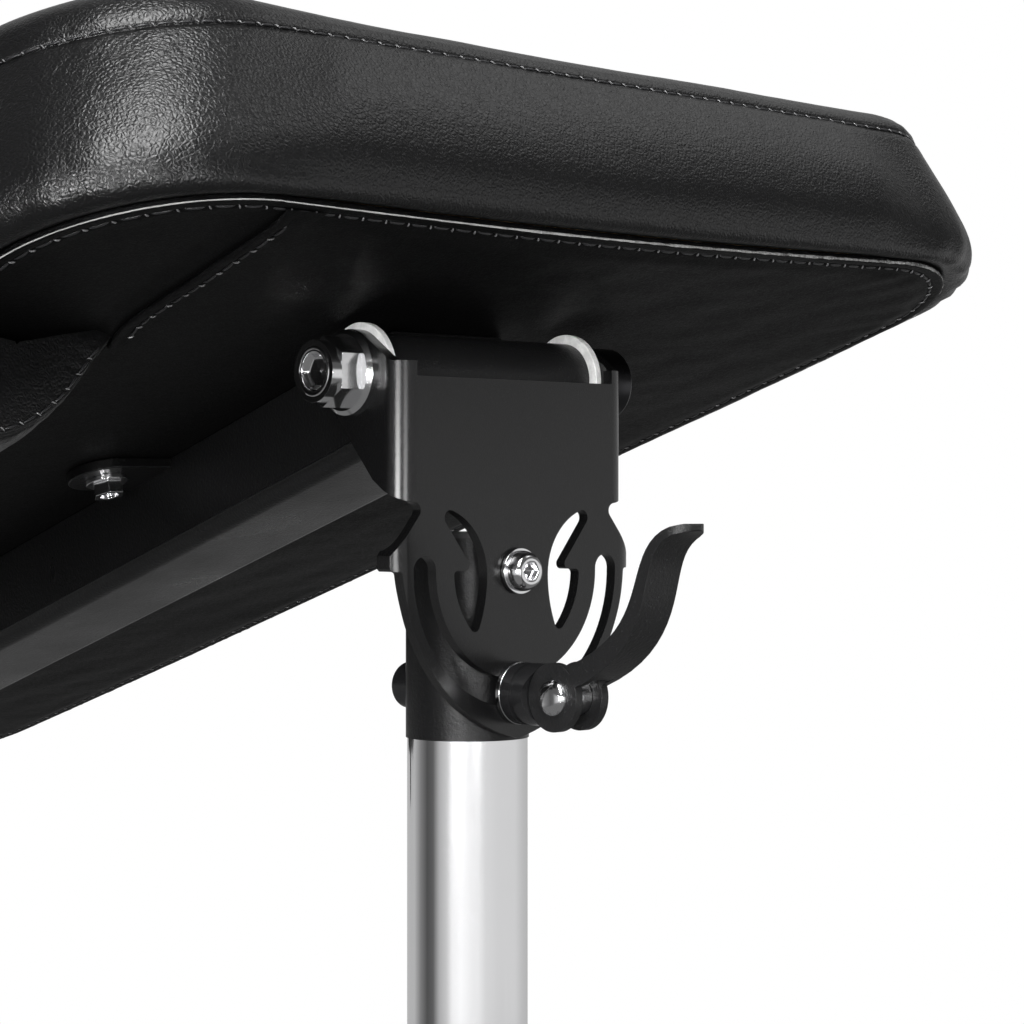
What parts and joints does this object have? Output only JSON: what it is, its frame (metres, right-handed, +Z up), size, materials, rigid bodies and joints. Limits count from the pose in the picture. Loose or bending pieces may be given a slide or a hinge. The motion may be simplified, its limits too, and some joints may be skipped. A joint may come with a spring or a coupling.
{
  "type": "tattoo arm rest stand",
  "caption": "Padded arm rest on a chrome post that slides and turns in a column on a low steel base, tilting lengthwise on a hinge and sideways on a cam clamped bracket.",
  "frame": {"origin": "on the floor, at the middle of the base, under the middle of the whole object", "axes": "+Z up, +X along the tilt hinge, +Y from the column towards the far end of the pad"},
  "size_m": [0.468, 0.64, 0.814],
  "materials": {
    "black_steel": "satin",
    "black_plastic": "matte",
    "black_cast": "textured",
    "black_bolt": "black oxide",
    "black_rubber": "matte",
    "chrome": "polished",
    "zinc_steel": "bright zinc",
    "white_nylon": "smooth",
    "brass": "turned",
    "spigot_aluminium": "turned",
    "board_wood": "bare",
    "black_leather": "soft grain"
  },
  "bodies": {
    "stand_base": {"front_crossbar": "black_steel", "rear_crossbar": "black_steel", "spine": "black_steel", "crossbar_caps": "black_plastic", "rubber_feet": "black_rubber", "foot_screws": "zinc_steel", "column_flange": "black_steel", "flange_bolts": "zinc_steel", "flange_nuts": "zinc_steel", "column_tube": "black_steel", "column_bush": "white_nylon", "clamp_collar": "black_cast", "clamp_pad": "brass"},
    "height_knob": {"clamp_knob": "black_plastic", "clamp_screw": "zinc_steel"},
    "lift": {"post_glide": "white_nylon"},
    "post": {"post_plug": "black_plastic", "post_tube": "chrome", "head_tube": "black_steel", "head_spigot": "spigot_aluminium", "head_cap": "black_plastic", "pivot_screw": "chrome", "pivot_washer": "chrome", "clamp_stud": "zinc_steel", "cam_washer": "chrome", "cam_saddle": "black_plastic", "cam_pin": "chrome", "rear_nut": "black_plastic"},
    "cam_lever": {"cam_lever": "black_steel"},
    "bracket": {"bracket": "black_steel", "hinge_bolt": "black_bolt", "hinge_nut": "chrome", "hinge_washers": "white_nylon"},
    "pad": {"hinge_barrel": "black_steel", "barrel_bushes": "white_nylon", "beam": "black_steel", "beam_tabs": "black_steel", "beam_cap": "black_plastic", "tab_screws": "chrome", "tab_washers": "chrome", "blind_nuts": "zinc_steel", "pad_board": "board_wood", "bottom_panel": "black_leather", "arm_pad": "black_leather", "bolster": "black_leather"}
  },
  "joints": [
    {"name": "height_slide", "type": "slide", "parent": "stand_base", "child": "lift", "axis": [0, 0, 1], "range_m": [-0.12, 0.11]},
    {"name": "post_swivel", "type": "hinge", "parent": "lift", "child": "post", "pos_m": [0, -0.228, 0.2], "axis": [0, 0, 1], "continuous": true},
    {"name": "side_tilt", "type": "hinge", "parent": "post", "child": "bracket", "pos_m": [0, -0.24775, 0.69], "axis": [0, 1, 0], "range_deg": [-75, 75]},
    {"name": "pad_tilt", "type": "hinge", "parent": "bracket", "child": "pad", "pos_m": [0, -0.228, 0.7405], "axis": [1, 0, 0], "range_deg": [-30, 45]},
    {"name": "cam_lever_turn", "type": "hinge", "parent": "post", "child": "cam_lever", "pos_m": [0, -0.2674, 0.6585], "axis": [1, 0, 0], "range_deg": [-40, 95]},
    {"name": "height_knob_turn", "type": "hinge", "parent": "stand_base", "child": "height_knob", "pos_m": [0, -0.274, 0.369], "axis": [0, 1, 0], "range_deg": [0, 360]}
  ]
}
